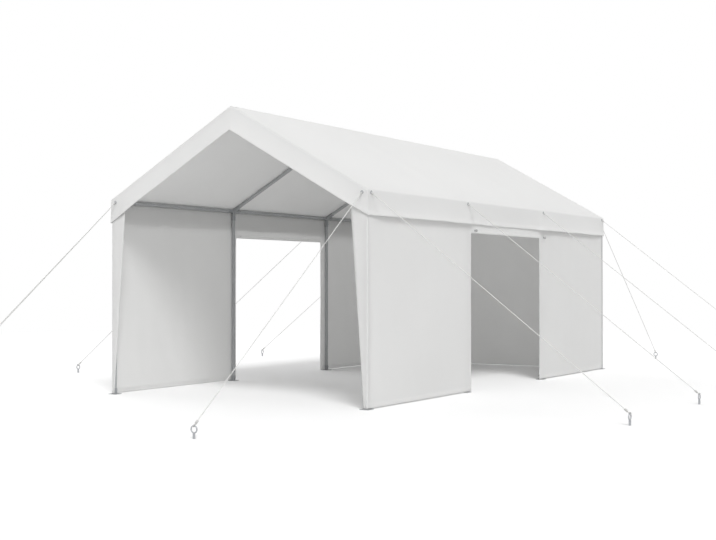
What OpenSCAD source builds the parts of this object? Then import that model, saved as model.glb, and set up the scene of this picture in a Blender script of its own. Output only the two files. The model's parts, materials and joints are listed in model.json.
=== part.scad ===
// Portable canopy carport: a bolted tube frame of four portals under a white woven cover,
// with side walls that leave a doorway in the middle bay, an open front with tapered flaps,
// a closed back wall, and guy ropes out to ground anchors.
// Origin: centre of the frame at ground level. X runs across the bay, -Y is the open front, Z is up.

/* [Cover] */
// Outer width of the cover, over the side valances
cover_w = 3050; // [2600:10:3800]
// Outer length of the cover, over the gable valances
cover_l = 6100; // [5200:10:7600]
// Height of the eave edge, where the roof turns down into the side valance
eave_h = 1980; // [1850:10:2400]
// Height of the ridge, over the cover
ridge_h = 2840; // [2600:10:3200]
// Depth of the valance, measured straight down from the roof edge
valance_drop = 235; // [160:5:260]
// Thickness of a sheet of the cover
skin = 4; // [2:0.5:6]

/* [Walls] */
// Gap between the foot plates and the hem of a wall
hem_gap = 2; // [1:0.5:40]
// How far the top of a wall stays under the eave edge
wall_top_drop = 15; // [8:1:40]
// How far the top of a doorway stays under the eave edge
header_drop = 326; // [300:1:450]
// How far a front wall panel reaches past the second post into the middle bay
front_lap = 85; // [60:5:300]
// How far a rear wall panel reaches past the third post into the middle bay
rear_lap = 110; // [40:2:300]
// Width of the slit between a rear wall panel and the back wall, where the rear post shows
rear_slit = 50; // [46:1:120]
// Width of a front flap where the wall wraps round the front post, at its top
flap_top_w = 195; // [80:5:260]
// Width of a front flap at its hem
flap_hem_w = 45; // [20:1:120]

/* [Frame] */
// Outer diameter of the frame tubes
tube_d = 38; // [32:1:45]
// Radial clearance of a tube in its socket
tube_fit = 0.3; // [0.1:0.1:0.6]
// Wall of a socket
socket_wall = 2.5; // [2:0.1:4]
// Length of a socket, from the middle of its fitting
socket_l = 110; // [80:5:150]
// Depth of solid metal at the middle of a fitting, where a tube end stops
socket_stop = 34; // [30:1:40]

/* [Feet] */
// Side of a square foot plate
foot_size = 95; // [90:5:140]
// Thickness of a foot plate
foot_t = 5; // [3:0.5:8]
// Height of the socket that stands on a foot plate
foot_socket_h = 60; // [40:5:90]
// Diameter of the two peg holes in a foot plate
peg_hole_d = 12; // [8:1:16]
// Distance between the two peg holes
peg_spacing = 68; // [62:2:74]

/* [Guy ropes] */
// Diameter of a guy rope
rope_d = 8; // [5:1:12]
// How far an anchor stands out from the valance that its rope leaves
rope_reach = 2400; // [1500:10:3200]
// How far the corner ropes leave the cover from its corner
corner_inset = 60; // [40:5:150]
// How far under the eave edge the ropes leave the cover
rope_drop = 25; // [20:1:60]

/* [Anchors] */
// Height of an anchor above the ground
anchor_h = 102; // [90:1:160]
// Outer diameter of the eye of an anchor
eye_d = 64; // [54:1:80]
// Diameter of the bar that the eye is bent from
eye_bar = 11; // [8:0.5:14]
// Diameter of the shank below the eye
shank_d = 20; // [16:1:28]

/* [Hidden] */
$fn = 48;

// Gap between a sheet, or a rope end, and what carries it
seat = 0.3;
// Difference in radius between sockets that cross in one fitting
socket_step = 0.4;

half_w = cover_w / 2;
half_l = cover_l / 2;
pitch = atan((ridge_h - eave_h) / half_w);
// Thickness of the roof sheet measured straight down
skin_v = skin / cos(pitch);

socket_r = tube_d / 2 + tube_fit + socket_wall;
rafter_socket_r = socket_r - socket_step;
rail_socket_r = socket_r - 2 * socket_step;
bore_r = tube_d / 2 + tube_fit;

// Layers from outside to inside: valance, wall sheet, post socket
wall_out_x = half_w - skin - seat;
wall_in_x = wall_out_x - skin;
post_x = wall_in_x - seat - socket_r;
end_out_y = half_l - skin - seat;
end_in_y = end_out_y - skin;
end_y = end_in_y - seat - socket_r;

// Four portal frames at equal spacing
bays = 3;
bay_l = 2 * end_y / bays;
frame_y = [for (i = [0 : bays]) -end_y + i * bay_l];

// Top face and underside of the roof sheet, and the line of the rafters, at a distance x from the middle
function roof_z(x) = eave_h + (half_w - x) * tan(pitch);
function roof_under_z(x) = roof_z(x) - skin_v;
function rafter_z(x) = roof_z(x) - (skin + seat + socket_r) / cos(pitch);

eave_node_z = rafter_z(post_x);
ridge_node_z = rafter_z(0);
rafter_l = norm([post_x, ridge_node_z - eave_node_z]);
eave_cap = roof_under_z(post_x + socket_r) - seat - eave_node_z;

hem_z = foot_t + hem_gap;
wall_top = eave_h - wall_top_drop;
door_h = eave_h - header_drop;
door_y0 = frame_y[1] + front_lap;
door_y1 = frame_y[2] - rear_lap;
panel_end_y = end_out_y - rear_slit;

// Ropes leave the side valance by the corners and at the middle portals
rope_y = [-half_l + corner_inset, frame_y[1], frame_y[2], half_l - corner_inset];
rope_x = half_w - corner_inset;
rope_h = eave_h - rope_drop;
eye_top_z = anchor_h - eye_bar / 2;

// Colours of the cover, the frame, the fittings, the ropes and the anchors
cover_colour = [0.93, 0.93, 0.92];
tube_colour = [0.62, 0.63, 0.64];
fitting_colour = [0.52, 0.53, 0.55];
rope_colour = [0.88, 0.88, 0.86];
anchor_colour = [0.45, 0.46, 0.48];

// Mirrors its children to the left side when side is -1
module on_side(side) {
    mirror([side < 0 ? 1 : 0, 0, 0]) children();
}

// A round bar between two points
module bar_between(p, q, d) {
    v = q - p;
    translate(p)
        rotate([0, acos(v[2] / norm(v)), atan2(v[1], v[0])])
            cylinder(h = norm(v), d = d);
}

// An outline in the X-Z plane, extruded along +Y from y0 to y1
module along_y(outline, y0, y1) {
    translate([0, y1, 0])
        rotate([90, 0, 0])
            linear_extrude(height = y1 - y0) polygon(outline);
}

// Turns +Z to point up the right-hand roof slope, from the eave towards the ridge
module up_slope() {
    rotate([0, pitch - 90, 0]) children();
}

// A round bar along +Z from z0 to z1
module round_bar(r, z0, z1) {
    translate([0, 0, z0]) cylinder(r = r, h = z1 - z0);
}

// Frame tubes

module post(side, i) {
    color(tube_colour)
        on_side(side) translate([post_x, frame_y[i], 0])
            round_bar(tube_d / 2, foot_t, eave_node_z - socket_stop);
}

module rafters(i) {
    color(tube_colour)
        for (side = [-1, 1])
            on_side(side) translate([post_x, frame_y[i], eave_node_z])
                up_slope() round_bar(tube_d / 2, socket_stop, rafter_l - socket_stop);
}

// Straight tubes from frame to frame, at the given place in the portals
module bay_tubes(x, z) {
    color(tube_colour)
        for (i = [0 : bays - 1])
            translate([x, frame_y[i], z]) rotate([-90, 0, 0])
                round_bar(tube_d / 2, socket_stop, bay_l - socket_stop);
}

// Fittings

// Where the sockets of a fitting reach along Y: not past the first or the last frame
function reach_y0(i) = i == 0 ? 0 : -socket_l;
function reach_y1(i) = i == bays ? 0 : socket_l;

// Sockets for the tubes that run along the bay, as solids or as bores
module rail_sockets(i, r) {
    rotate([-90, 0, 0]) round_bar(r, reach_y0(i), reach_y1(i));
}

module rail_bores(i) {
    for (turn = [if (i > 0) 90, if (i < bays) -90])
        rotate([turn, 0, 0]) round_bar(bore_r, socket_stop, socket_l + 1);
}

module eave_fitting(i) {
    difference() {
        union() {
            round_bar(socket_r, -socket_l, eave_cap);
            up_slope() round_bar(rafter_socket_r, 0, socket_l);
            rail_sockets(i, rail_socket_r);
        }
        round_bar(bore_r, -socket_l - 1, -socket_stop);
        up_slope() round_bar(bore_r, socket_stop, socket_l + 1);
        rail_bores(i);
    }
}

module eave_fittings(side) {
    color(fitting_colour)
        for (i = [0 : bays])
            on_side(side) translate([post_x, frame_y[i], eave_node_z]) eave_fitting(i);
}

// Places its children at the mouth of a ridge fitting's right rafter socket, with +Z up the slope
module from_ridge_mouth() {
    translate([socket_l * cos(pitch), 0, -socket_l * sin(pitch)]) up_slope() children();
}

// The half of a ridge fitting that takes one rafter, cut off upright at the middle
module ridge_half() {
    intersection() {
        from_ridge_mouth() round_bar(rafter_socket_r, 0, 2 * socket_l);
        translate([0, -socket_l, -2 * socket_l]) cube([2 * socket_l, 2 * socket_l, 4 * socket_l]);
    }
}

module ridge_fitting(i) {
    difference() {
        union() {
            for (side = [-1, 1]) on_side(side) ridge_half();
            rail_sockets(i, rail_socket_r);
        }
        for (side = [-1, 1])
            on_side(side) from_ridge_mouth() round_bar(bore_r, -1, socket_l - socket_stop);
        rail_bores(i);
    }
}

module ridge_fittings() {
    color(fitting_colour)
        for (i = [0 : bays])
            translate([0, frame_y[i], ridge_node_z]) ridge_fitting(i);
}

// Feet

module foot_plate() {
    difference() {
        union() {
            translate([-foot_size / 2, -foot_size / 2, 0]) cube([foot_size, foot_size, foot_t]);
            round_bar(socket_r, 0, foot_socket_h);
        }
        round_bar(bore_r, foot_t, foot_socket_h + 1);
        for (end = [-1, 1])
            translate([0, end * peg_spacing / 2, 0]) round_bar(peg_hole_d / 2, -1, foot_t + 1);
    }
}

module foot_plates(side) {
    color(fitting_colour)
        for (y = frame_y)
            translate([side * post_x, y, 0]) foot_plate();
}

// Cover

module roof_slope(side) {
    color(cover_colour) on_side(side)
        along_y([
            [0, ridge_h], [0, ridge_h - skin_v],
            [half_w, eave_h - skin_v], [half_w, eave_h]
        ], -half_l, half_l);
}

module side_valance(side) {
    inner_x = half_w - skin;
    color(cover_colour) on_side(side)
        along_y([
            [inner_x, eave_h - valance_drop], [half_w, eave_h - valance_drop],
            [half_w, roof_under_z(half_w)], [inner_x, roof_under_z(inner_x)]
        ], -half_l + skin, half_l - skin);
}

module gable_valance(side, y0) {
    color(cover_colour) on_side(side)
        along_y([
            [0, ridge_h - valance_drop], [half_w, eave_h - valance_drop],
            [half_w, roof_under_z(half_w)], [0, roof_under_z(0)]
        ], y0, y0 + skin);
}

// Walls

module side_sheet(side, y0, y1, z0) {
    color(cover_colour) on_side(side)
        translate([wall_in_x, y0, z0]) cube([skin, y1 - y0, wall_top - z0]);
}

module front_flap(side) {
    color(cover_colour) on_side(side)
        along_y([
            [wall_in_x, hem_z], [half_w - flap_hem_w, hem_z],
            [half_w - flap_top_w, wall_top], [wall_in_x, wall_top]
        ], -end_out_y, -end_in_y);
}

module back_wall() {
    color(cover_colour)
        along_y([
            [-wall_in_x, hem_z], [wall_in_x, hem_z],
            [wall_in_x, roof_under_z(wall_in_x) - seat],
            [0, roof_under_z(0) - seat],
            [-wall_in_x, roof_under_z(wall_in_x) - seat]
        ], end_in_y, end_out_y);
}

// Guy ropes and anchors

// A taut rope from a point on the cover to the top of an anchor's eye.
// It starts inside the cover and is trimmed there by the caller.
module taut_rope(from, anchor) {
    to = [anchor[0], anchor[1], eye_top_z];
    run = (to - from) / norm(to - from);
    bar_between(from - 2 * rope_d * run, to - (eye_bar / 2 + seat) * run, rope_d);
}

module side_guy_ropes(side) {
    color(rope_colour) on_side(side)
        for (y = rope_y)
            intersection() {
                taut_rope([half_w, y, rope_h], [half_w + rope_reach, y]);
                translate([half_w, y - rope_d, 0]) cube([rope_reach, 2 * rope_d, eave_h]);
            }
}

// Ropes off one end of the cover: end is -1 at the front and 1 at the rear
module end_guy_ropes(end) {
    color(rope_colour)
        for (side = [-1, 1])
            on_side(side) intersection() {
                taut_rope([rope_x, end * half_l, rope_h], [rope_x, end * (half_l + rope_reach)]);
                translate([rope_x - rope_d, end < 0 ? -half_l - rope_reach : half_l, 0])
                    cube([2 * rope_d, rope_reach, eave_h]);
            }
}

// The part of an anchor that stands out of the ground; its eye faces along X
module anchor() {
    round_bar(shank_d / 2, 0, anchor_h - eye_d + eye_bar / 2);
    translate([0, 0, anchor_h - eye_d / 2]) rotate([0, 90, 0])
        rotate_extrude() translate([(eye_d - eye_bar) / 2, 0]) circle(d = eye_bar);
}

module side_anchors(side) {
    color(anchor_colour)
        for (y = rope_y)
            translate([side * (half_w + rope_reach), y, 0]) anchor();
}

module end_anchors(end) {
    color(anchor_colour)
        for (side = [-1, 1])
            translate([side * rope_x, end * (half_l + rope_reach), 0])
                rotate([0, 0, 90]) anchor();
}

post(-1, 0);  // left_front_post
post(-1, 1);  // left_second_post
post(-1, 2);  // left_third_post
post(-1, 3);  // left_rear_post
post(1, 0);  // right_front_post
post(1, 1);  // right_second_post
post(1, 2);  // right_third_post
post(1, 3);  // right_rear_post
foot_plates(-1);  // left_foot_plates
foot_plates(1);  // right_foot_plates
eave_fittings(-1);  // left_eave_fittings
eave_fittings(1);  // right_eave_fittings
ridge_fittings();
rafters(0);  // front_rafters
rafters(1);  // second_rafters
rafters(2);  // third_rafters
rafters(3);  // rear_rafters
bay_tubes(0, ridge_node_z);  // ridge_tubes
bay_tubes(-post_x, eave_node_z);  // left_eave_rails
bay_tubes(post_x, eave_node_z);  // right_eave_rails
roof_slope(-1);  // left_roof_slope
roof_slope(1);  // right_roof_slope
side_valance(-1);  // left_valance
side_valance(1);  // right_valance
gable_valance(-1, -half_l);  // front_left_valance
gable_valance(1, -half_l);  // front_right_valance
gable_valance(-1, half_l - skin);  // rear_left_valance
gable_valance(1, half_l - skin);  // rear_right_valance
side_sheet(-1, -end_out_y, door_y0, hem_z);  // left_front_wall
side_sheet(-1, door_y1, panel_end_y, hem_z);  // left_rear_wall
side_sheet(-1, door_y0, door_y1, door_h);  // left_door_header
side_sheet(1, -end_out_y, door_y0, hem_z);  // right_front_wall
side_sheet(1, door_y1, panel_end_y, hem_z);  // right_rear_wall
side_sheet(1, door_y0, door_y1, door_h);  // right_door_header
front_flap(-1);  // left_front_flap
front_flap(1);  // right_front_flap
back_wall();
side_guy_ropes(-1);  // left_guy_ropes
side_guy_ropes(1);  // right_guy_ropes
end_guy_ropes(-1);  // front_guy_ropes
end_guy_ropes(1);  // rear_guy_ropes
side_anchors(-1);  // left_anchors
side_anchors(1);  // right_anchors
end_anchors(-1);  // front_anchors
end_anchors(1);  // rear_anchors
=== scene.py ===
# %% [markdown]
# # A canopy carport
# The carport is a bolted tube frame of four portals under a white woven cover. The frame, feet,
# fittings and anchors come from the CAD model as they are. This lesson adds what CAD is bad at:
# the cloth, which is stretched over the tubes and hangs between them, the twisted guy ropes with
# their eyelets and knots, the small fasteners, and every finish.
# The frame is loaded first, because each new piece takes its place from a CAD node.

# %% Load the frame
import json
import math

import bpy
import numpy as np
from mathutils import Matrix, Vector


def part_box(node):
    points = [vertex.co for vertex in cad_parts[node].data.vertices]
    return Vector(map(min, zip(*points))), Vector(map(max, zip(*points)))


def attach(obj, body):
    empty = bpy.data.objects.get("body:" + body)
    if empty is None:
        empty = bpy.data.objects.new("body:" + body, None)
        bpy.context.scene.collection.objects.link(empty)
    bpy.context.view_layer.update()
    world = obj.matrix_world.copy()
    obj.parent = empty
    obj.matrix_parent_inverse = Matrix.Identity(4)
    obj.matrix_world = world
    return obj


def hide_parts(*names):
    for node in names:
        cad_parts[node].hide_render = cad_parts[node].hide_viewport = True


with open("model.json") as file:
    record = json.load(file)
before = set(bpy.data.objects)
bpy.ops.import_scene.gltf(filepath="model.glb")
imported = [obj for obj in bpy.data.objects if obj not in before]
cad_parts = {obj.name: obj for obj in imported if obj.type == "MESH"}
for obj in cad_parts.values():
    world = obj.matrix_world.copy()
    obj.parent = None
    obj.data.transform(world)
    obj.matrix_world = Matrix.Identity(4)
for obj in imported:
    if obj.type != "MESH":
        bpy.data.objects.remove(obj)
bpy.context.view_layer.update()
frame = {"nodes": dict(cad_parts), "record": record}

# %% [markdown]
# ## Sizes
# The cloth lies where the CAD slabs lie, so their boxes give nearly every size. Here only the eave
# height is typed in, because a box does not show where a sloping slab starts.

# %% Read the sizes off the frame
def corners_of(node):
    """Lowest and highest corner of a CAD node, each as a numpy row of three numbers."""
    low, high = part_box(node)
    return np.array(low), np.array(high)


def middle_of(node, axis):
    """Middle of a CAD node's box along one axis."""
    low, high = corners_of(node)
    return float(low[axis] + high[axis]) / 2


EAVE = 1.980
HALF_W, HALF_L, RIDGE = corners_of("right_roof_slope")[1]
PITCH = math.atan2(RIDGE - EAVE, HALF_W)
DROP = EAVE - corners_of("right_valance")[0][2]
WALL_X = middle_of("right_front_wall", 0)
FRONT_Y, BACK_Y = middle_of("right_front_flap", 1), middle_of("back_wall", 1)
HEM = corners_of("right_front_wall")[0][2]
DOOR_START, WALL_TOP = corners_of("right_front_wall")[1][1:]
DOOR_END, WALL_END = corners_of("right_rear_wall")[0][1], corners_of("right_rear_wall")[1][1]
DOOR_TOP = corners_of("right_door_header")[0][2]
FRAME_Y = np.array([middle_of(f"right_{name}_post", 1) for name in ("front", "second", "third", "rear")])
POST_X = middle_of("right_front_post", 0)
TUBE_R = corners_of("right_front_post")[1][0] - POST_X
BAY = FRAME_Y[1] - FRAME_Y[0]
print(f"bay {BAY:.3f} m, pitch {math.degrees(PITCH):.1f} degrees, doorway {DOOR_END - DOOR_START:.3f} m")

# %% [markdown]
# ## Camera
# The camera stands where the photograph was taken from: to the right of the open front, a little
# above waist height, looking almost level. Its place was worked out from the cover's straight edges.

# %% Place the camera
camera_data = bpy.data.cameras.new("photo_camera")
camera_data.sensor_width = 36.0
camera_data.lens = 62.53
camera = bpy.data.objects.new("photo_camera", camera_data)
camera.location = (7.193, -12.645, 1.157)
camera.rotation_euler = (math.radians(90.50), 0.0, math.radians(31.02))
bpy.context.scene.collection.objects.link(camera)
bpy.context.scene.camera = camera
print("camera at", tuple(round(x, 2) for x in camera.location))

# %% [markdown]
# ## Meshes from grids
# Every piece is a grid: rows one way, columns the other, and a point for each crossing. The whole
# grid is worked out as numpy arrays and handed to Blender at once, which is quick and keeps the
# formula in sight. A sheet also carries its flat cut as a UV map in metres, so that the weave
# follows the cloth, and an attribute with the distance to the nearest free edge, so that the hem
# and its stitching follow the edge.

# %% Grid helpers
def grid_quads(rows, columns, ring=False, loop=False):
    """Corner numbers of the quads between neighbouring rows and columns. ring joins the last column to
    the first, loop the last row to the first. A quad faces the side where columns run right and rows up."""
    number = np.arange(rows * columns).reshape(rows, columns)
    if ring:
        number = np.concatenate([number, number[:, :1]], 1)
    if loop:
        number = np.concatenate([number, number[:1]], 0)
    around = [number[:-1, :-1], number[:-1, 1:], number[1:, 1:], number[1:, :-1]]
    return np.stack(around, -1).reshape(-1, 4)


def put_mesh(name, points, quads, uv=None, edge=None):
    """A smooth mesh object at the origin from arrays of points and quads, with an optional UV map and
    an optional distance to the nearest free edge."""
    mesh = bpy.data.meshes.new(name)
    mesh.from_pydata(np.asarray(points, float).reshape(-1, 3).tolist(), [], np.asarray(quads).tolist())
    if uv is not None:
        corner = np.zeros(len(mesh.loops), np.int32)
        mesh.loops.foreach_get("vertex_index", corner)
        layer = mesh.uv_layers.new(name="cut")
        layer.uv.foreach_set("vector", np.asarray(uv, np.float32).reshape(-1, 2)[corner].ravel())
    if edge is not None:
        mark = mesh.attributes.new("edge", "FLOAT", "POINT")
        mark.data.foreach_set("value", np.asarray(edge, np.float32).ravel())
    mesh.shade_smooth()
    piece = bpy.data.objects.new(name, mesh)
    bpy.context.scene.collection.objects.link(piece)
    return piece


def dress(piece, finish, slot, *nodes):
    """Give a piece its finish, let it ride on the one body and stand for the CAD nodes named; slot is not
    used.
    """
    piece.data.materials.append(finish)
    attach(piece, "root")
    if nodes:
        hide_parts(*nodes)
    print(f"{piece.name}: {len(piece.data.polygons)} faces")
    return piece


# %% [markdown]
# A sheet is drawn as its outer face only. The Solidify modifier then gives it the cloth's thickness
# on the inner side, which also closes its edges.

# %% Sheet helpers
CLOTH = 0.0014


def facing(points, quads, outward):
    """The quads, turned over if their mean normal points against the outward direction."""
    p = points.reshape(-1, 3)
    one, other = p[quads[:, 2]] - p[quads[:, 0]], p[quads[:, 3]] - p[quads[:, 1]]
    return quads if np.cross(one, other).mean(0) @ np.array(outward) > 0 else quads[:, ::-1]


def cloth_piece(name, points, uv, edge, outward, keep=None):
    """A sheet from a grid of points, with the quads where keep is true, thickened inwards."""
    quads = facing(points, grid_quads(*points.shape[:2]), outward)
    if keep is not None:
        quads = quads[keep.ravel()]
    used, quads = np.unique(quads, return_inverse=True)
    corners = points.reshape(-1, 3)[used]
    piece = put_mesh(name, corners, quads.reshape(-1, 4), uv.reshape(-1, 2)[used], edge.ravel()[used])
    thickness = piece.modifiers.new("cloth_thickness", "SOLIDIFY")
    thickness.thickness, thickness.offset = CLOTH, -1.0
    return piece


print(f"sheets are {CLOTH * 1000:.1f} mm thick")

# %% [markdown]
# ## How the cloth lies
# A stretched sheet is nearly flat, but never quite: it dips between the frames that hold it, its
# hems stand a little proud because they are folded double, and slow waves run through it. Three
# small functions give those. The waves are a sum of sines with fixed, seeded lengths and phases, so
# that every run gives the same cloth.

# %% Cloth forms
HEM_W = 0.030
HEM_FOLD = 0.002
HEM_LINES = np.array([HEM_W / 3, HEM_W - HEM_FOLD, HEM_W])
# How much further in a sewn edge counts than a free hem, so that its stitches lie close to the seam
SEWN_EDGE = 0.004


def smooth_step(t):
    """0 below 0, 1 above 1, and an S-curve between."""
    t = np.clip(t, 0.0, 1.0)
    return t * t * (3 - 2 * t)


def slow_waves(a, b, longest, seed, count=7):
    """Sum of sines over two lengths in metres, with wavelengths from 0.3 to 1 times the longest and
    directions and phases from a seed, scaled to about -1 to 1."""
    rng = np.random.default_rng(seed)
    length = longest * rng.uniform(0.3, 1.0, count)
    turn = rng.uniform(0, math.pi, count)
    phase = rng.uniform(0, 2 * math.pi, count)
    way = np.asarray(a)[..., None] * np.cos(turn) + np.asarray(b)[..., None] * np.sin(turn)
    return np.sin(2 * math.pi * way / length + phase).sum(-1) / math.sqrt(2 * count)


def between_frames(y):
    """0 at every portal frame and beyond the end ones, 1 half way between two: a parabola in each bay."""
    t = np.clip((y - FRAME_Y[0]) / BAY, 0.0, len(FRAME_Y) - 1.0) % 1.0
    return 4 * t * (1 - t)


def hem_rise(edge):
    """How far a hem stands proud: one cloth's thickness up to its inner edge, then nothing."""
    return CLOTH * (1 - smooth_step((edge - (HEM_W - HEM_FOLD)) / HEM_FOLD))


# %% [markdown]
# The grids need lines close together at hems and turns, and wide apart elsewhere. The bent path
# helper rounds the corners of a section, as cloth rounds the tube that it goes over.

# %% Grid lines and bent paths
def lines(start, end, step, extra=()):
    """Places from start to end about a step apart, with extra places added in order."""
    even = np.linspace(start, end, int(round((end - start) / step)) + 1)
    places = np.unique(np.concatenate([even, np.asarray(extra, float)]))
    inside = places[(places >= start) & (places <= end)]
    return inside[np.concatenate([[True], np.diff(inside) > 2e-4])]


def walked_along(path):
    """Distance from the first point of a path to each of its points."""
    return np.concatenate([[0], np.cumsum(np.linalg.norm(np.diff(path, axis=0), axis=1))])


def rounded_path(bends, radius):
    """A bent line whose inner corners are arcs of one radius, each starting radius times the tangent of
    half the turn before its corner. Returns a function of the distance walked, and the whole length."""
    bends = np.asarray(bends, float)
    way = np.diff(bends, axis=0)
    way /= np.linalg.norm(way, axis=1)[:, None]
    parts = [bends[:1]]
    for corner, before, after in zip(bends[1:-1], way[:-1], way[1:]):
        turn = math.atan2(before[0] * after[1] - before[1] * after[0], before @ after)
        inside = np.array([-before[1], before[0]]) * math.copysign(1.0, turn)
        start = corner - before * radius * math.tan(abs(turn) / 2)
        angle = np.linspace(0, abs(turn), 13)[:, None]
        parts.append(start + radius * (inside * (1 - np.cos(angle)) + before * np.sin(angle)))
    path = np.concatenate(parts + [bends[-1:]])
    walked = walked_along(path)

    def at(s):
        """Points and left-hand normals at distances s."""
        place, ahead, behind = (np.stack([np.interp(s + more, walked, path[:, i]) for i in (0, 1)], -1)
                                for more in (0, 1e-4, -1e-4))
        tangent = (ahead - behind) / np.linalg.norm(ahead - behind, axis=-1, keepdims=True)
        return place, np.stack([-tangent[..., 1], tangent[..., 0]], -1)

    return at, float(walked[-1])


# %% [markdown]
# ## Material helpers
# A material is a small graph of nodes. These helpers add one node each, so that a finish below
# reads as a few sentences: what pattern, at what scale, and what it drives.

# %% Node helpers
def node_adder(tree):
    """Empty a node tree and give a function that adds nodes to it."""
    tree.nodes.clear()

    def add(kind, links=(), **values):
        """A node of one kind; values set its properties or sockets, links feed its sockets."""
        node = tree.nodes.new("ShaderNode" + kind)
        for key, value in values.items():
            if hasattr(node, key):
                setattr(node, key, value)
            else:
                node.inputs[key.replace("_", " ")].default_value = value
        for socket, source in dict(links).items():
            tree.links.new(source, node.inputs[socket])
        return node

    return add


def new_material(name):
    """An empty node material, and the function that adds a node to it."""
    material = bpy.data.materials.new(name)
    material.use_nodes = True
    return material, node_adder(material.node_tree)


def maths(add, operation, first, second=0.5, third=None):
    """One Math node; a socket is linked and a number is set."""
    node = add("Math", operation=operation)
    for index, value in enumerate((first, second, third)):
        if isinstance(value, (int, float)):
            node.inputs[index].default_value = value
        elif value is not None:
            node.id_data.links.new(value, node.inputs[index])
    return node.outputs[0]


def noise(add, place, scale, detail=3.0, rough=0.5):
    """Soft noise, with a scale in spots per metre."""
    return add("TexNoise", {"Vector": place}, Scale=scale, Detail=detail, Roughness=rough).outputs["Fac"]


def spread(add, value, low, high):
    """The middle of a noise, 0.3 to 0.7, spread from low to high."""
    node = add("MapRange", {"Value": value}, From_Min=0.3, From_Max=0.7, To_Min=low, To_Max=high)
    return node.outputs["Result"]


def colour_between(add, factor, low, high):
    """A colour that goes from low to high with a factor."""
    node = add("Mix", {"Factor": factor}, data_type="RGBA", A=(*low, 1), B=(*high, 1))
    return node.outputs["Result"]


def bumped(add, height, strength, distance):
    """Normals of a surface that a height pushes out by a distance in metres."""
    return add("Bump", {"Height": height}, Strength=strength, Distance=distance).outputs["Normal"]


# %% [markdown]
# ## Woven sheet
# The cover is woven from flat plastic tapes and coated white, so it has a fine crossed weave, a
# slight sheen, and lets some light through: that is why the inside of the roof is bright. A
# Principled shader gives the coated face, and a Translucent shader mixed in gives the light that
# comes through. The weave and the two rows of stitches are bumps on the flat cut, in metres.

# %% Make the woven sheet's finish
WHITE = (0.87, 0.87, 0.865)
TAPES, STITCHES = 105.0, 45.0
WEAVE_HEIGHT, STITCH_HEIGHT, CREASE_HEIGHT = 0.00025, 0.0006, 0.006
STITCH_ROWS = (0.008, 0.025)
STITCH_HALF = 0.0011


def woven_sheet(name, bright, through):
    """White tape-woven sheet; bright is its colour, through the share of light that passes. Height is
    crossed tapes, stitches in the hem and slow creases; colour is faint clouds and darker stitches."""
    material, add = new_material(name)
    cut = add("UVMap", uv_map="cut").outputs["UV"]
    place = add("TexCoord").outputs["Object"]
    edge = add("Attribute", attribute_name="edge").outputs["Fac"]
    tape = {"Scale": TAPES, "Distortion": 0.6, "Detail": 1.0}
    warp = add("TexWave", {"Vector": cut}, bands_direction="X", **tape).outputs["Fac"]
    weft = add("TexWave", {"Vector": cut}, bands_direction="Y", **tape).outputs["Fac"]
    weave = maths(add, "MAXIMUM", warp, weft)
    dashes = add("TexWave", {"Vector": cut}, bands_direction="DIAGONAL", Scale=STITCHES).outputs["Fac"]
    outer_row, inner_row = (maths(add, "COMPARE", edge, row, STITCH_HALF) for row in STITCH_ROWS)
    rows = maths(add, "ADD", outer_row, inner_row)
    stitched = maths(add, "MULTIPLY", rows, maths(add, "GREATER_THAN", dashes, 0.4))
    creases = maths(add, "MULTIPLY", noise(add, place, 3.0, rough=0.45), CREASE_HEIGHT)
    height = maths(add, "MULTIPLY_ADD", weave, WEAVE_HEIGHT, creases)
    height = maths(add, "MULTIPLY_ADD", stitched, STITCH_HEIGHT, height)
    normal = bumped(add, height, strength=0.55, distance=1.0)
    clouds = noise(add, place, 1.1, detail=5.0, rough=0.6)
    shade = maths(add, "MULTIPLY_ADD", stitched, -0.8, clouds)
    shade = maths(add, "MULTIPLY_ADD", weave, 0.12, shade)
    colour = colour_between(add, shade, tuple(c * 0.955 for c in bright), bright)
    coated = {"Base Color": colour, "Roughness": spread(add, clouds, 0.42, 0.58), "Normal": normal}
    face = add("BsdfPrincipled", coated, Specular_IOR_Level=0.35)
    lit_through = add("BsdfTranslucent", {"Color": colour, "Normal": normal})
    both = add("MixShader", {1: face.outputs[0], 2: lit_through.outputs[0]}, Fac=through)
    add("OutputMaterial", {"Surface": both.outputs[0]})
    return material


ROOF_SHEET = woven_sheet("roof_sheet", WHITE, through=0.28)
WALL_SHEET = woven_sheet("wall_sheet", WHITE, through=0.38)
print("sheets:", ROOF_SHEET.name, WALL_SHEET.name)

# %% [markdown]
# ## Roof and side valances
# The roof is one continuous sheet: up the left valance, over the eave, the ridge and the other
# eave, and down the right valance. Its section is a bent line with rounded corners where it goes
# over the tubes, carried along the carport.

# %% Lay out the roof
EAVE_ROUND = 0.026
EAVE_BAND, RIDGE_BAND = 0.018, 0.012
roof_section = [(-HALF_W, EAVE - DROP), (-HALF_W, EAVE), (0, RIDGE), (HALF_W, EAVE), (HALF_W, EAVE - DROP)]
roof_at, roof_length = rounded_path(roof_section, EAVE_ROUND)
eave_turn = np.linspace(DROP - EAVE_BAND, DROP + EAVE_BAND, 9)
ridge_turn = roof_length / 2 + np.linspace(-RIDGE_BAND, RIDGE_BAND, 5)
near_hem = np.concatenate([HEM_LINES, eave_turn])
close = np.concatenate([near_hem, roof_length - near_hem, ridge_turn])
across = lines(0, roof_length, step=0.030, extra=close)
ends = np.concatenate([HEM_LINES - HALF_L, HALF_L - HEM_LINES])
along = lines(-HALF_L, HALF_L, step=0.034, extra=ends)
S, Y = np.meshgrid(across, along)
section, outward = roof_at(S)
print(f"roof cut {roof_length:.3f} m by {2 * HALF_L:.2f} m, grid {len(along)} by {len(across)}")

# %% [markdown]
# On the slopes the sheet dips between the portals. Below the eaves it hangs free, stands out a
# little at the hem and waves slightly. Over the doorway it is pulled in, and at the four corners it
# stays tight, because the gable valances are sewn to it there.

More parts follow.
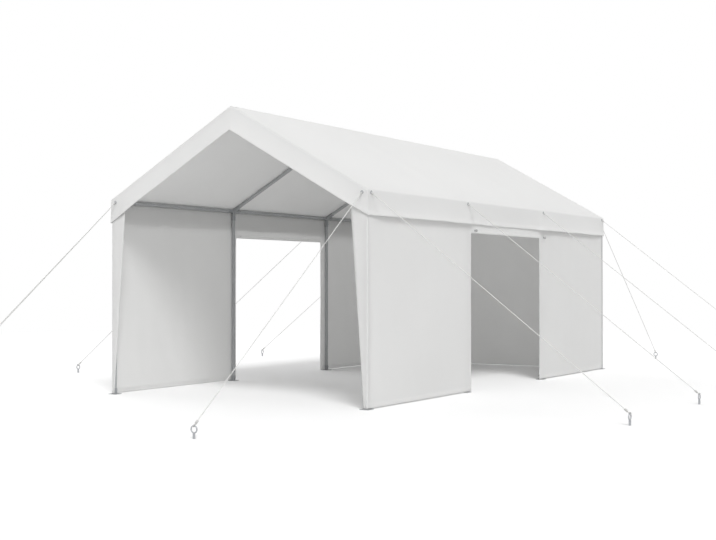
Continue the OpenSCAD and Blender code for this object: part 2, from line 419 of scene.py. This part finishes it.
# %% Make the roof cover
HEM_STAND, CORNER_STAND = 0.030, 0.002
CORNER_REACH, DOOR_FADE, DOOR_PULL = 0.32, 0.12, 0.9
# Share of a corner's reach over which the seam pulls the hem along
SEAM_SHARE = 0.25
ROOF_DIP, DIP_WAVE = 0.016, 0.004
RIPPLE, RIPPLE_FADE = 0.0016, 0.3
HEM_WAVE, HEM_UNEVEN = 0.004, 0.003
# Folds run down a valance, so its height counts less than its length
FOLD_STRETCH = 0.2


def flare(depth, stand):
    """How far a valance stands out at a depth below the roof edge, 0 at the edge and 1 at the hem."""
    return stand * np.clip(depth, 0, 1) ** 1.4


def near_corner(distance):
    """1 at a corner of the valances, fading to 0 at the corner's reach."""
    return 1 - smooth_step(distance / CORNER_REACH)


def over_door(y):
    """1 over the doorway and 0 over the wall panels, with short fades."""
    return smooth_step((y - DOOR_START) / DOOR_FADE + 0.5) * smooth_step((DOOR_END - y) / DOOR_FADE + 0.5)


depth = np.clip((EAVE - section[..., 1]) / DROP, 0, 1)
on_slope = np.sin(math.pi * np.clip((section[..., 1] - EAVE) / (RIDGE - EAVE), 0, 1))
to_end = HALF_L - np.abs(Y)
free = 1 - near_corner(to_end)
dip = (ROOF_DIP + DIP_WAVE * slow_waves(Y, S, longest=2.5, seed=3)) * between_frames(Y) * on_slope
ripple = RIPPLE * slow_waves(Y, S, longest=0.8, seed=5) * on_slope * smooth_step(to_end / RIPPLE_FADE)
stand = CORNER_STAND + (HEM_STAND - CORNER_STAND) * free * (1 - DOOR_PULL * over_door(Y))
folds = slow_waves(Y, S * FOLD_STRETCH, longest=1.5, seed=7)
hanging = flare(depth, stand) + HEM_WAVE * depth * folds * free
to_hem = np.minimum(S, roof_length - S)
lift = hanging - dip + ripple + hem_rise(to_hem)
sewn = np.sign(Y) * flare(depth, CORNER_STAND) * near_corner(to_end / SEAM_SHARE)
uneven = HEM_UNEVEN * depth * slow_waves(Y, S * FOLD_STRETCH / 2, longest=0.9, seed=9) * free
roof_x = section[..., 0] + outward[..., 0] * lift
roof_z = section[..., 1] + outward[..., 1] * lift + uneven
roof_points = np.stack([roof_x, Y + sewn, roof_z], -1)
roof_cut = np.stack([S, Y + HALF_L], -1)
roof_cover = cloth_piece("roof_cover", roof_points, roof_cut, np.minimum(to_hem, to_end), (0, 0, 1))
dress(roof_cover, ROOF_SHEET, "roof_cover",
      "left_roof_slope", "right_roof_slope", "left_valance", "right_valance")

# %% [markdown]
# ## Gable valances
# At each end a strip as deep as the side valances is sewn to the roof's edge and follows it up to
# the ridge and down again. Its top is the roof's own section, so there is no gap, and at the
# corners it moves out together with the side valance, so that the two stay sewn.

# %% Make the gable valances
eave_start = DROP - EAVE_ROUND * math.tan((math.pi / 2 - PITCH) / 2)
roof_edge = roof_at(np.linspace(eave_start, roof_length - eave_start, 600))[0]


def roof_height(x):
    """Height of the roof slopes above a place across, as if the eaves and ridge were sharp."""
    return EAVE + (HALF_W - np.abs(x)) * math.tan(PITCH)


def gable_valance(name, end, seed, *nodes):
    """A strip over x and depth: its height is the roof's section less the depth, and it stands out from
    the cover's end by the flare; end is -1 at the front and 1 at the rear."""
    close = np.geomspace(0.001, 0.03, 8)
    x = lines(-HALF_W, HALF_W, step=0.026, extra=np.concatenate([[0.0], HALF_W - close, close - HALF_W]))
    X, V = np.meshgrid(x, lines(0, 1, step=0.085, extra=1 - HEM_LINES / DROP))
    top, sharp = np.interp(X, roof_edge[:, 0], roof_edge[:, 1]), roof_height(X)
    Z = top + V * (sharp - DROP - top)
    depth = (sharp - Z) / DROP
    to_side = HALF_W - np.abs(X)
    free = 1 - near_corner(to_side)
    to_hem = (Z - (sharp - DROP)) * math.cos(PITCH)
    out = flare(depth, CORNER_STAND + (HEM_STAND - CORNER_STAND) * free)
    folds = slow_waves(X, Z * FOLD_STRETCH, longest=1.2, seed=seed)
    out = out + HEM_WAVE * depth * folds * free + hem_rise(to_hem)
    sewn = np.sign(X) * flare(depth, CORNER_STAND) * near_corner(to_side / SEAM_SHARE)
    points = np.stack([X + sewn, end * (HALF_L + out), Z], -1)
    cut = np.stack([X / math.cos(PITCH), V * DROP], -1)
    strip = cloth_piece(name, points, cut, np.minimum(to_hem, V * DROP + SEWN_EDGE), (0, end, 0))
    dress(strip, ROOF_SHEET, "roof_cover", *nodes)


gable_valance("front_valance", -1, 11, "front_left_valance", "front_right_valance")
gable_valance("rear_valance", 1, 13, "rear_left_valance", "rear_right_valance")

# %% [markdown]
# ## Side walls
# Each side wall is one sheet with a doorway cut out of it. At the front it turns round the corner
# post and ends in a flap that narrows towards the ground. The grid walks along that path, so the
# corner is a smooth quarter turn.

# %% Lay out a side wall
POST_TURN = 0.012
FLAP_TOP, FLAP_HEM = 0.195, 0.045
WALL_BULGE, BULGE_WAVE, WALL_FOLD = 0.010, 0.006, 0.0016
# Shares of the height over which the pegged hem and the laced top let go of the sheet
PEG_START, PEG_FADE, LACE_FADE = 0.35, 0.5, 0.2
flap_share = np.linspace(0, 1, 7)[:-1]
door_lines = np.concatenate([DOOR_START - HEM_LINES, [DOOR_START, DOOR_END], DOOR_END + HEM_LINES])
side_lines = np.concatenate([door_lines, WALL_END - HEM_LINES])


def wall_plan(z):
    """Plan of a side wall at each height: a flap that narrows downwards, a quarter circle round the
    post, and the straight side. Gives X and Y with a row for each height."""
    turn_x, turn_y = WALL_X - POST_TURN, FRONT_Y + POST_TURN
    arc = np.linspace(0, math.pi / 2, 8)
    y = lines(turn_y, WALL_END, step=0.034, extra=side_lines)[1:]
    high = (z[:, None] - HEM) / (WALL_TOP - HEM)
    inner = HALF_W - (FLAP_HEM + (FLAP_TOP - FLAP_HEM) * high)
    turn = [turn_x + POST_TURN * np.sin(arc), turn_y - POST_TURN * np.cos(arc)]
    beside = [np.concatenate([turn[0], np.full(len(y), WALL_X)]), np.concatenate([turn[1], y])]
    X = np.concatenate([inner + (turn_x - inner) * flap_share, np.tile(beside[0], (len(z), 1))], 1)
    Y = np.concatenate([np.full((len(z), len(flap_share)), FRONT_Y), np.tile(beside[1], (len(z), 1))], 1)
    return X, Y


def wall_lift(side, y, z):
    """How far a side wall stands out: a bulge between the posts that fades to the laced top and the
    pegged hem, and narrow upright folds; never inwards, where the posts are."""
    high = (z - HEM) / (WALL_TOP - HEM)
    loose = (1 - high) * smooth_step(high / PEG_FADE + PEG_START)
    swell = WALL_BULGE + BULGE_WAVE * slow_waves(y, z, longest=1.6, seed=20 + side)
    bulge = loose * between_frames(y) * swell
    folds = WALL_FOLD * slow_waves(y, z * 0.25, longest=0.5, seed=21 + side)
    return np.maximum(bulge + folds * smooth_step((1 - high) / LACE_FADE), 0.0)


print(f"flap {FLAP_TOP:.3f} m wide at the top, {FLAP_HEM:.3f} m at the hem")

# %% [markdown]
# The sheet is laced at the top and bulges slightly between the posts. The doorway's edges bow a
# little, as a loose hem does, and the quads inside the doorway are left out.

# %% Make the side walls
DOOR_BOW, BOW_REACH = 0.006, 0.15


def side_wall(name, side):
    """A wall's plan carried up through its heights, moved out by its lift; side is -1 left, 1 right."""
    rows = np.concatenate([HEM + HEM_LINES, DOOR_TOP + HEM_LINES, [DOOR_TOP]])
    z = lines(HEM, WALL_TOP, step=0.030, extra=rows)
    X, Y = wall_plan(z)
    Z = np.repeat(z[:, None], X.shape[1], 1)
    step = np.hypot(np.diff(X, axis=1), np.diff(Y, axis=1))
    walked = np.concatenate([np.zeros((len(z), 1)), np.cumsum(step, 1)], 1)
    before, after = DOOR_START - Y, Y - DOOR_END
    to_door = np.hypot(np.maximum(np.maximum(before, after), 0), np.maximum(Z - DOOR_TOP, 0))
    edge = np.minimum.reduce([Z - HEM, to_door, WALL_END - Y, walked, WALL_TOP - Z + SEWN_EDGE])
    lift = wall_lift(side, Y, Z) + hem_rise(edge)
    on_side = smooth_step((Y - FRONT_Y) / POST_TURN)
    bow = DOOR_BOW * np.sin(math.pi * np.clip(Z / DOOR_TOP, 0, 1)) * (Z < DOOR_TOP)
    bow = bow * (smooth_step(1 - after / BOW_REACH) * (after > -1e-6)
                 - smooth_step(1 - before / BOW_REACH) * (before > -1e-6))
    points = np.stack([side * (X + lift * on_side), Y + bow - hem_rise(edge) * (1 - on_side), Z], -1)
    middle_y, middle_z = (Y[:-1, :-1] + Y[1:, 1:]) / 2, (Z[:-1, :-1] + Z[1:, 1:]) / 2
    keep = ~((middle_y > DOOR_START) & (middle_y < DOOR_END) & (middle_z < DOOR_TOP))
    cut = np.stack([walked - walked[:, len(flap_share)][:, None], Z - HEM], -1)
    wall = cloth_piece(name + "_wall", points, cut, edge, (side, -0.2, 0), keep)
    dress(wall, WALL_SHEET, "wall_sheet", name + "_front_wall", name + "_rear_wall",
          name + "_door_header", name + "_front_flap")


side_wall("left", -1)
side_wall("right", 1)

# %% [markdown]
# ## Back wall
# The closed back is one sheet with a peaked top. Its rows run from the hem to just under the roof,
# so the top row follows both slopes, and its two upright edges turn a little way round the rear
# posts.

# %% Make the back wall
BACK_RETURN, UNDER_ROOF = 0.014, 0.008
BACK_SLACK, SLACK_WAVE = 0.010, 0.007
SLACK_START, SLACK_SPAN = 0.12, 1.1
return_y = BACK_Y - BACK_RETURN
back_plan = [(-WALL_X, return_y), (-WALL_X, BACK_Y), (WALL_X, BACK_Y), (WALL_X, return_y)]
back_at, back_length = rounded_path(back_plan, POST_TURN)
turn_lines = np.concatenate([np.linspace(0.004, 0.020, 5), 0.020 + HEM_LINES])
half = lines(0, back_length / 2, step=0.034, extra=turn_lines)
rows = lines(0, 1, step=0.014, extra=HEM_LINES / 2)
S, V = np.meshgrid(np.concatenate([half, back_length - half[::-1][1:]]), rows)
plan, _ = back_at(S)
X = plan[..., 0]
top = roof_height(X) - UNDER_ROOF
Z = HEM + V * (top - HEM)
high = (Z - HEM) / (RIDGE - HEM)
edge = np.minimum.reduce([S, back_length - S, Z - HEM, top - Z + SEWN_EDGE])
slack = (1 - (X / WALL_X) ** 2) * np.sin(math.pi * np.clip(high * SLACK_SPAN + SLACK_START, 0, 1))
lift = slack * (BACK_SLACK + SLACK_WAVE * slow_waves(X, Z, longest=1.5, seed=31)) + hem_rise(edge)
back_points = np.stack([X, plan[..., 1] + lift, Z], -1)
back_sheet = cloth_piece("back_sheet", back_points, np.stack([S, Z - HEM], -1), edge, (0, 1, 0))
dress(back_sheet, WALL_SHEET, "wall_sheet", "back_wall")

# %% [markdown]
# ## Guy ropes
# A guy rope is three strands twisted together. Seen end on, its outline is three circles that
# touch; turning that outline as it moves along the rope gives the lay. A plain tube with a striped
# bump would be lighter, but its outline would be straight.

# %% Rope helpers
ROPE_R = 0.004
LAY = 0.042
STRAND_R, STRAND_OUT = 0.464, 0.536


def three_strands(count=12):
    """Angles and radii of three touching circles in a circle of radius 1. At an angle a from a strand's
    middle, the radius is out cos(a) + sqrt(strand^2 - (out sin(a))^2)."""
    angle = np.arange(count) * 2 * math.pi / count
    a = (angle + math.pi / 3) % (2 * math.pi / 3) - math.pi / 3
    inside = np.maximum(STRAND_R ** 2 - (STRAND_OUT * np.sin(a)) ** 2, 0)
    return angle, STRAND_OUT * np.cos(a) + np.sqrt(inside)


def twisted(path, sideways, radius):
    """The three strands carried along a path, turning once for every lay of length; sideways is a
    direction across the path at each point. Gives grid points, and UV as metres along and share round."""
    tangent = np.gradient(path, axis=0)
    tangent /= np.linalg.norm(tangent, axis=1)[:, None]
    up = np.cross(tangent, sideways)
    up /= np.linalg.norm(up, axis=1)[:, None]
    level = np.cross(up, tangent)
    walked = walked_along(path)[:, None]
    angle, size = three_strands()
    turned = (angle + 2 * math.pi * walked / LAY)[..., None]
    away = np.cos(turned) * level[:, None] + np.sin(turned) * up[:, None]
    points = path[:, None] + radius * size[:, None] * away
    uv = np.stack(np.broadcast_arrays(walked, angle / (2 * math.pi)), -1)
    return points, uv


def end_caps(rows, columns):
    """Quads that close the first and last ring of a tube, each from two neighbours to the two opposite."""
    i = np.arange(columns // 2 - 1)
    first = np.stack([i + 1, i, columns - 1 - i, columns - 2 - i], -1)
    return np.concatenate([first, first[:, ::-1] + (rows - 1) * columns])


def joined(parts):
    """Several grids as one list of points, quads and UV, each a tube that is closed at both ends."""
    quads, start = [], 0
    for grid, _ in parts:
        rows, columns = grid.shape[:2]
        quads += [grid_quads(rows, columns, ring=True) + start, end_caps(rows, columns) + start]
        start += rows * columns
    points = np.concatenate([grid.reshape(-1, 3) for grid, _ in parts])
    return points, np.concatenate(quads), np.concatenate([uv.reshape(-1, 2) for _, uv in parts])


# %% [markdown]
# The rope is white and a little soiled. Its fibres run along the strands, so their noise is
# stretched on the rope's own UV map.

# %% Make the rope's finish
def rope_finish():
    """White twisted cord: fine fibres along the strands as bump, greyer in soiled stretches."""
    material, add = new_material("guy_rope")
    cut = add("UVMap", uv_map="cut").outputs["UV"]
    place = add("TexCoord").outputs["Object"]
    stretched = add("Mapping", {"Vector": cut}, vector_type="POINT", Scale=(900.0, 40.0, 1.0))
    fibres = noise(add, stretched.outputs["Vector"], 1.0, detail=2.0)
    soiled = maths(add, "MULTIPLY", noise(add, place, 2.4, detail=4.0), 0.6)
    shade = maths(add, "MULTIPLY_ADD", fibres, 0.45, soiled)
    colour = colour_between(add, shade, (0.60, 0.597, 0.585), (0.80, 0.80, 0.785))
    normal = bumped(add, fibres, strength=0.5, distance=0.0008)
    face = add("BsdfPrincipled", {"Base Color": colour, "Normal": normal}, Roughness=0.72)
    add("OutputMaterial", {"Surface": face.outputs[0]})
    return material


ROPE = rope_finish()
print("rope finish:", ROPE.name)

# %% [markdown]
# The ropes are taut, so each one is a straight line from its eyelet to its anchor. At the anchor it
# goes once round the bar of the eye and is whipped with a few turns of its own end, and at the
# eyelet it is stopped with a small knot.

# %% Make the guy ropes
EYELET_DROP, CORNER_INSET, EYE_BAR_R = 0.025, 0.060, 0.0055
WHIP_BACK, KNOT_AT, ROPE_STEP = 0.056, 0.012, 0.0045
ROPE_Z, ROPE_X = EAVE - EYELET_DROP, HALF_W - CORNER_INSET
EYE_TOP = corners_of("right_anchors")[1][2] - EYE_BAR_R
ANCHOR_X, ANCHOR_Y = middle_of("right_anchors", 0), middle_of("rear_anchors", 1)
SIDE_PLACES = (CORNER_INSET - HALF_L, FRAME_Y[1], FRAME_Y[2], HALF_L - CORNER_INSET)
rope_runs = {}
for label, side in (("left", -1), ("right", 1)):
    rope_runs[label + "_guy_ropes"] = [
        ((side * HALF_W, y, ROPE_Z), (side * ANCHOR_X, y, EYE_TOP)) for y in SIDE_PLACES]
for label, end in (("front", -1), ("rear", 1)):
    rope_runs[label + "_guy_ropes"] = [
        ((x, end * HALF_L, ROPE_Z), (x, end * ANCHOR_Y, EYE_TOP)) for x in (-ROPE_X, ROPE_X)]


def coil(start, way, radius, turns, pitch):
    """A helix round a line, one pitch further each turn, and the directions away from the line."""
    one = np.cross(way, [0.0, 0.0, 1.0])
    one /= np.linalg.norm(one)
    a = np.linspace(0, 2 * math.pi * turns, int(turns * 16) + 1)[:, None]
    away = np.cos(a) * one + np.sin(a) * np.cross(way, one)
    return start + way * pitch * a / (2 * math.pi) + radius * away, away


def guy_rope(start, end):
    """One rope as grids: the straight run, a loop round the eye's bar, a whipping and a knot."""
    start, end = np.array(start), np.array(end)
    way = (end - start) / np.linalg.norm(end - start)
    level = way * [1, 1, 0] / np.linalg.norm(way[:2])
    a = np.linspace(0, 2 * math.pi, 25)[:, None]
    away = np.cos(a) * level + np.sin(a) * [0, 0, 1]
    shift = np.cross(level, [0, 0, 1.0]) * ROPE_R * np.linspace(-1, 1, len(a))[:, None]
    loop = end + (EYE_BAR_R + ROPE_R) * away + shift
    whip, whip_away = coil(end - way * WHIP_BACK, way, radius=0.0072, turns=4.5, pitch=0.0078)
    knot, knot_away = coil(start + way * KNOT_AT, way, radius=0.0070, turns=2.5, pitch=0.0080)
    length = np.linalg.norm(end - start) - KNOT_AT
    run = start + way * np.linspace(0, length, int(length / ROPE_STEP))[:, None]
    upright = np.tile([0.0, 0.0, 1.0], (len(run), 1))
    return [twisted(run, upright, ROPE_R), twisted(loop, away, ROPE_R * 0.95),
            twisted(whip, whip_away, ROPE_R * 0.9), twisted(knot, knot_away, ROPE_R * 0.9)]


for node, runs in rope_runs.items():
    points, quads, uv = joined([part for run in runs for part in guy_rope(*run)])
    dress(put_mesh(node + "_laid", points, quads, uv), ROPE, "rope", node)

# %% [markdown]
# ## Metal and plastic finishes
# The tubes and fittings are powder coated in grey: an even colour with a faint orange-peel surface
# and slightly duller patches. Anchors, eyelets and bolts are zinc plated: a dull metal with cloudy
# crystals and rougher patches. All of them read Object coordinates, so the pattern has one scale on
# every piece.

# %% Finish the frame
def powder_coat(name, dark, light, rough, clouds_at=9.0, pebbles_at=900.0):
    """Coloured coat: fine pebbled bump, clouds from dark to light, and roughness that follows them."""
    material, add = new_material(name)
    place = add("TexCoord").outputs["Object"]
    clouds = noise(add, place, clouds_at, detail=5.0, rough=0.6)
    rubbed = maths(add, "MULTIPLY", noise(add, place, clouds_at * 7), 0.4)
    colour = colour_between(add, maths(add, "MULTIPLY_ADD", clouds, 0.6, rubbed), dark, light)
    worn = spread(add, clouds, rough - 0.06, rough + 0.08)
    pebbles = noise(add, place, pebbles_at, detail=1.0)
    normal = bumped(add, pebbles, strength=0.25, distance=0.0004)
    face = add("BsdfPrincipled", {"Base Color": colour, "Roughness": worn, "Normal": normal})
    add("OutputMaterial", {"Surface": face.outputs[0]})
    return material


def zinc_plate(name):
    """Dull zinc: cell-shaped crystals and clouds in the colour, and rougher where it is cloudy."""
    material, add = new_material(name)
    place = add("TexCoord").outputs["Object"]
    crystals = add("TexVoronoi", {"Vector": place}, Scale=130.0).outputs["Color"]
    clouds = noise(add, place, 45.0, detail=4.0)
    shade = maths(add, "MULTIPLY_ADD", crystals, 0.35, maths(add, "MULTIPLY", clouds, 0.65))
    colour = colour_between(add, shade, (0.30, 0.31, 0.33), (0.52, 0.53, 0.55))
    plated = {"Base Color": colour, "Roughness": spread(add, clouds, 0.38, 0.6)}
    plated["Normal"] = bumped(add, clouds, strength=0.2, distance=0.0008)
    face = add("BsdfPrincipled", plated, Metallic=0.85)
    add("OutputMaterial", {"Surface": face.outputs[0]})
    return material


TUBE = powder_coat("tube_coat", (0.35, 0.36, 0.37), (0.44, 0.45, 0.46), 0.44)
FITTING = powder_coat("fitting_coat", (0.27, 0.28, 0.29), (0.34, 0.35, 0.36), 0.50)
ZINC = zinc_plate("zinc_plate")
finishes = {"frame_tube": TUBE, "fitting": FITTING, "foot": FITTING, "anchor": ZINC}
for part in frame["record"]["subparts"]:
    if part["material_slot"] in finishes:
        coat = frame["nodes"][part["node"]].data.materials
        coat.clear()
        coat.append(finishes[part["material_slot"]])
print("finishes:", ", ".join(finish.name for finish in finishes.values()))

# %% [markdown]
# ## Rope eyelets
# A small turned part is a profile spun round an axis: an eyelet is a rolled ring. One is worked out,
# then copied to every place at once by multiplying its points with a set of axes for each place.

# %% Make the rope eyelets
def spun(profile, count):
    """Grid of points: each (radius, height) of a profile, from its foot up, turned round the Z axis."""
    profile = np.asarray(profile, float)
    angle = np.arange(count) * 2 * math.pi / count
    r, h = profile[:, :1], profile[:, 1:]
    return np.stack([r * np.cos(angle), r * np.sin(angle), np.repeat(h, count, 1)], -1)


def rolled_ring(radius, half_width, half_height):
    """An eyelet: an ellipse beside the axis, spun into a ring that closes both ways."""
    roll = np.arange(12) * 2 * math.pi / 12
    return spun(np.stack([radius + half_width * np.cos(roll), half_height * np.sin(roll)], -1), 28)


def fastener(name, grid, places, axes, finish, slot, loop=False):
    """One object with a turned part at every place, its Z axis along that place's axis; loop closes a
    ring's section, and other parts get a cap at both ends."""
    axes = np.asarray(axes, float)
    helper = np.where(np.abs(axes[:, 2:]) > 0.9, [[1.0, 0, 0]], [[0, 0, 1.0]])
    one = np.cross(helper, axes)
    one /= np.linalg.norm(one, axis=1)[:, None]
    base = np.stack([one, np.cross(axes, one), axes], 1)
    points = np.einsum("rci,kij->krcj", grid, base) + np.asarray(places, float)[:, None, None]
    rows, columns = grid.shape[:2]
    quads = grid_quads(rows, columns, ring=True, loop=loop)
    if not loop:
        quads = np.concatenate([quads, end_caps(rows, columns)])
    quads = (quads + np.arange(len(points))[:, None, None] * rows * columns).reshape(-1, 4)
    return dress(put_mesh(name, points, quads), finish, slot)


EYELET_STAND = 0.0018
rope_starts = np.array([run[0] for runs in rope_runs.values() for run in runs])
rope_ends = np.array([run[1] for runs in rope_runs.values() for run in runs])
rope_ways = (rope_ends - rope_starts) * [1, 1, 0]
rope_ways /= np.linalg.norm(rope_ways, axis=1)[:, None]
eyelet_at = rope_starts + rope_ways * EYELET_STAND
rope_ring = rolled_ring(radius=0.0115, half_width=0.0050, half_height=0.0022)
fastener("rope_eyelets", rope_ring, eyelet_at, rope_ways, ZINC, "anchor", loop=True)

# %% [markdown]
# ## Ball toggles
# Beside the top corners of each doorway the sheet is held by an elastic loop with a ball: the loop
# goes through an eyelet and the ball stops it. The ball is a half circle spun round its axis, and
# the loop's neck a short cone between the eyelet and the ball. All three stand on the wall's own
# surface, so they ask the wall's lift for their place.

# %% Make the ball toggles
BALL_R, BALL_STAND, BALL_POLE = 0.014, 0.020, 0.05
BEFORE_DOOR, AFTER_DOOR = (0.09, 0.030), (0.13, 0.010)
BALL_PLASTIC = powder_coat("toggle_plastic", (0.36, 0.36, 0.36), (0.46, 0.46, 0.46), 0.45,
                           clouds_at=70.0, pebbles_at=1500.0)
toggle_at = []
for side in (-1, 1):
    for y, z in ((DOOR_START + BEFORE_DOOR[0], DOOR_TOP + BEFORE_DOOR[1]),
                 (DOOR_END + AFTER_DOOR[0], DOOR_TOP + AFTER_DOOR[1])):
        toggle_at.append((side * (WALL_X + float(wall_lift(side, y, z)) + CLOTH), y, z))
toggle_at = np.array(toggle_at)
toggle_way = np.sign(toggle_at) * [1.0, 0, 0]
half_turn = np.linspace(BALL_POLE - math.pi / 2, math.pi / 2 - BALL_POLE, 17)
ball = spun(BALL_R * np.stack([np.cos(half_turn), np.sin(half_turn)], -1), 24)
neck = spun([(0.0040, -0.001), (0.0034, 0.006), (0.0032, BALL_STAND - BALL_R + 0.002)], 12)
fastener("toggle_balls", ball, toggle_at + toggle_way * BALL_STAND, toggle_way, BALL_PLASTIC, "fitting")
fastener("toggle_necks", neck, toggle_at, toggle_way, BALL_PLASTIC, "fitting")
small_ring = rolled_ring(radius=0.0080, half_width=0.0032, half_height=0.0016)
fastener("toggle_eyelets", small_ring, toggle_at, toggle_way, ZINC, "anchor", loop=True)

# %% [markdown]
# ## Bolts
# Each tube is held in its socket by a bolt on the inner side: a washer with a six-sided head. Every
# fitting gets one bolt a socket, so the places follow from the fittings' middles and the directions
# of their sockets.

# %% Make the bolts
BOLT_AT, FOOT_BOLT = 0.080, 0.042
BOLT_R, BOLT_SUNK = 0.0040, 0.0006
SOCKET_WALL = 0.0028
SOCKET_R = TUBE_R + SOCKET_WALL
WASHER_R, WASHER_T, WASHER_EDGE = 0.0090, 0.0016, 0.0004
HEAD_R, HEAD_H, HEAD_EDGE = 0.0060, 0.0070, 0.0008
eave_z = corners_of("right_eave_rails")[0][2] + TUBE_R
ridge_z = corners_of("ridge_tubes")[0][2] + TUBE_R
DOWN = np.array([0, 0, -1.0])
spots, facings = [], []


def bolt(middle, along_socket, facing_way):
    """Note a bolt at its distance along a socket, on the socket's skin."""
    on_axis = np.asarray(middle) + np.asarray(along_socket) * BOLT_AT
    spots.append(on_axis + facing_way * (SOCKET_R - BOLT_SUNK))
    facings.append(facing_way)


for i, y in enumerate(FRAME_Y):
    ridge = np.array([0, y, ridge_z])
    rails = [way for way in (-1, 1) if 0 <= i + way < len(FRAME_Y)]
    for way in rails:
        bolt(ridge, (0, way, 0), DOWN)
    for side in (-1, 1):
        eave = np.array([side * POST_X, y, eave_z])
        inward = np.array([-side, 0, 0.0])
        down_slope = np.array([side * math.cos(PITCH), 0, -math.sin(PITCH)])
        under = np.array([-side * math.sin(PITCH), 0, -math.cos(PITCH)])
        bolt(eave, DOWN, inward)
        bolt(eave, -down_slope, under)
        bolt(ridge, down_slope, under)
        bolt((side * POST_X, y, FOOT_BOLT + BOLT_AT), DOWN, inward)
        for way in rails:
            bolt(eave, (0, way, 0), inward)
spots, facings = np.array(spots), np.array(facings)
washer = spun([(WASHER_R, -BOLT_SUNK), (WASHER_R, WASHER_T - WASHER_EDGE),
               (WASHER_R - WASHER_EDGE, WASHER_T), (BOLT_R, WASHER_T)], 24)
head = spun([(HEAD_R, 0.0), (HEAD_R, HEAD_H - HEAD_EDGE), (HEAD_R - HEAD_EDGE, HEAD_H)], 6)
fastener("bolt_washers", washer, spots, facings, ZINC, "anchor").data.shade_flat()
fastener("bolt_heads", head, spots, facings, ZINC, "anchor").data.shade_flat()

# %% [markdown]
# ## Floor
# A plain pale floor takes the shadows. The camera sees it nearly white, but the light that bounces
# off it is that of a greyer floor, because a white floor of this size would light the cover from
# below. Far from the carport it turns into plain white, so that no horizon shows.

# %% Lay the floor
FLOOR_HALF = 60.0
FADE_START, FADE_END = 7.0, 16.0
FLOOR_SEEN, FLOOR_BOUNCE = 0.96, 0.78
FLOOR_CLOUDS = 0.05


def seen_plainly(add):
    """1 for rays from the camera and for what is mirrored or seen through, 0 for bouncing light."""
    rays = add("LightPath").outputs
    mirrored = maths(add, "MAXIMUM", rays["Is Glossy Ray"], rays["Is Transmission Ray"])
    return maths(add, "MAXIMUM", rays["Is Camera Ray"], mirrored)


def floor_finish():
    """Matt floor: from its bounce to its seen grey by the kind of ray, and plain white far away."""
    material, add = new_material("studio_floor")
    place = add("TexCoord").outputs["Object"]
    far = add("VectorMath", {0: place}, operation="LENGTH").outputs["Value"]
    fade = add("MapRange", {"Value": far}, interpolation_type="SMOOTHSTEP",
               From_Min=FADE_START, From_Max=FADE_END)
    plain = maths(add, "MULTIPLY", seen_plainly(add), 1 - FLOOR_CLOUDS)
    shade = maths(add, "MULTIPLY_ADD", noise(add, place, 2.0), FLOOR_CLOUDS, plain)
    colour = colour_between(add, shade, (FLOOR_BOUNCE,) * 3, (FLOOR_SEEN,) * 3)
    matt = add("BsdfPrincipled", {"Base Color": colour}, Roughness=0.9)
    white = add("Emission", Strength=1.0, Color=(1, 1, 1, 1))
    both = add("MixShader", {0: fade.outputs["Result"], 1: matt.outputs[0], 2: white.outputs[0]})
    add("OutputMaterial", {"Surface": both.outputs[0]})
    return material


floor_corners = FLOOR_HALF * np.array([[-1, -1, 0], [1, -1, 0], [1, 1, 0], [-1, 1, 0]])
floor = put_mesh("floor", floor_corners, [[0, 1, 2, 3]])
floor.data.materials.append(floor_finish())
print("floor", 2 * FLOOR_HALF, "m square")

# %% [markdown]
# ## Light
# A broad soft lamp from the front right, a weaker and broader one from the back left, and an even
# white world light the cover at a level where its white is not clipped. The lamp at the back also
# shines through the sheets, which brightens the inside of the roof and of the far wall. The camera,
# and what mirrors the surroundings, see a plain white world.

# %% Set the world and the lamps
WORLD_LIGHT, KEY_LIGHT, FILL_LIGHT = 0.56, 2.00, 0.60


def soft_lamp(name, strength, width, tilt, turn):
    """A sun lamp of an angular width, its light coming from a tilt off straight up towards the front,
    turned about the vertical; all three in degrees."""
    data = bpy.data.lights.new(name, "SUN")
    data.energy, data.angle = strength, math.radians(width)
    lamp = bpy.data.objects.new(name, data)
    lamp.rotation_euler = (math.radians(tilt), 0, math.radians(turn))
    bpy.context.scene.collection.objects.link(lamp)


soft_lamp("soft_key", KEY_LIGHT, width=20, tilt=45, turn=42)
soft_lamp("soft_fill", FILL_LIGHT, width=60, tilt=62, turn=-106)
world = bpy.data.worlds.new("studio")
world.use_nodes = True
bpy.context.scene.world = world
add = node_adder(world.node_tree)
light, backdrop = (add("Background", Strength=level, Color=(1, 1, 1, 1)) for level in (WORLD_LIGHT, 1.0))
both = add("MixShader", {0: seen_plainly(add), 1: light.outputs[0], 2: backdrop.outputs[0]})
add("OutputWorld", {"Surface": both.outputs[0]})
bpy.context.scene.view_settings.view_transform = "Standard"
print("world light", WORLD_LIGHT, "key light", KEY_LIGHT, "fill light", FILL_LIGHT)
